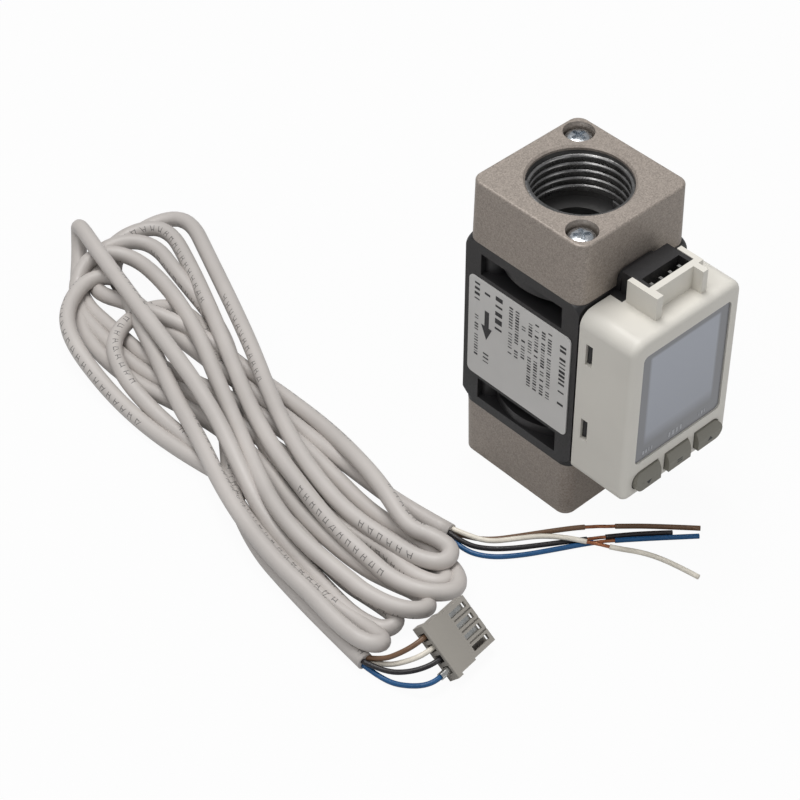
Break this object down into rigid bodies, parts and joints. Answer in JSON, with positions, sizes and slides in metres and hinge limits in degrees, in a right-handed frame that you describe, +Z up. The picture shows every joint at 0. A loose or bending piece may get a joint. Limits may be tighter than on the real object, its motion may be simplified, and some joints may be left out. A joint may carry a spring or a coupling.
{
  "type": "digital air flow switch",
  "caption": "Digital flow switch for compressed air with threaded ports, a display with push buttons, and its unplugged connector lead coiled beside it.",
  "frame": {"origin": "centre of the outlet port's face, which the part stands on", "axes": "+Z up along the flow axis from outlet to inlet, -Y out of the display, -X out of the name plate"},
  "size_m": [0.0876, 0.1617, 0.07],
  "materials": {
    "block_metal": "fine champagne-grey metallic coat, satin with a slight grain",
    "screw_steel": "bright zinc-plated steel",
    "black_plastic": "moulded black plastic, fine matt",
    "seal_rubber": "black rubber",
    "white_plastic": "white plastic",
    "plate_film": "silver-grey printed film",
    "board_green": "solder-masked board",
    "ivory_plastic": "moulded ivory plastic, fine satin",
    "window_pane": "clear pane over a grey display, with a darker border",
    "display_glass": "display glass, off",
    "button_rubber": "dark warm grey rubber",
    "pin_tin": "tin plate",
    "sheath_grey": "light grey sheath, satin",
    "wire_white": "off-white insulation",
    "wire_brown": "brown insulation",
    "wire_black": "black insulation",
    "wire_blue": "blue insulation",
    "plug_grey": "moulded warm grey plastic"
  },
  "bodies": {
    "root": {"inlet_port_block": "block_metal", "outlet_port_block": "block_metal", "sensor_body": "black_plastic", "inlet_seal": "seal_rubber", "outlet_seal": "seal_rubber", "flow_restrictor": "white_plastic", "inlet_screw_1": "screw_steel", "inlet_screw_2": "screw_steel", "outlet_screw_1": "screw_steel", "outlet_screw_2": "screw_steel", "name_plate": "plate_film", "sensor_gasket": "seal_rubber", "sensor_circuit_board": "board_green", "flow_sensing_chip": "black_plastic", "display_housing": "ivory_plastic", "display_window": "window_pane", "display_glass": "display_glass", "backlight": "white_plastic", "main_circuit_board": "board_green", "switch_down": "black_plastic", "switch_set": "black_plastic", "switch_up": "black_plastic", "connector_shroud": "black_plastic", "contact_pin_1": "pin_tin", "contact_pin_2": "pin_tin", "contact_pin_3": "pin_tin", "contact_pin_4": "pin_tin", "cable_hank": "sheath_grey", "cable_free_end": "sheath_grey", "cable_plug_end": "sheath_grey", "free_wire_white": "wire_white", "free_wire_brown": "wire_brown", "free_wire_black": "wire_black", "free_wire_blue": "wire_blue", "plug_wire_white": "wire_white", "plug_wire_brown": "wire_brown", "plug_wire_black": "wire_black", "plug_wire_blue": "wire_blue", "plug_housing": "plug_grey", "plug_terminal_white": "pin_tin", "plug_terminal_brown": "pin_tin", "plug_terminal_black": "pin_tin", "plug_terminal_blue": "pin_tin"},
    "button_down": {"button_down": "button_rubber"},
    "button_set": {"button_set": "button_rubber"},
    "button_up": {"button_up": "button_rubber"}
  },
  "joints": [
    {"name": "button_down_press", "type": "slide", "parent": "root", "child": "button_down", "axis": [0, 1, 0], "range_m": [0, 0.0004], "stiffness_N_per_m": 400},
    {"name": "button_set_press", "type": "slide", "parent": "root", "child": "button_set", "axis": [0, 1, 0], "range_m": [0, 0.0004], "stiffness_N_per_m": 400},
    {"name": "button_up_press", "type": "slide", "parent": "root", "child": "button_up", "axis": [0, 1, 0], "range_m": [0, 0.0004], "stiffness_N_per_m": 400}
  ]
}
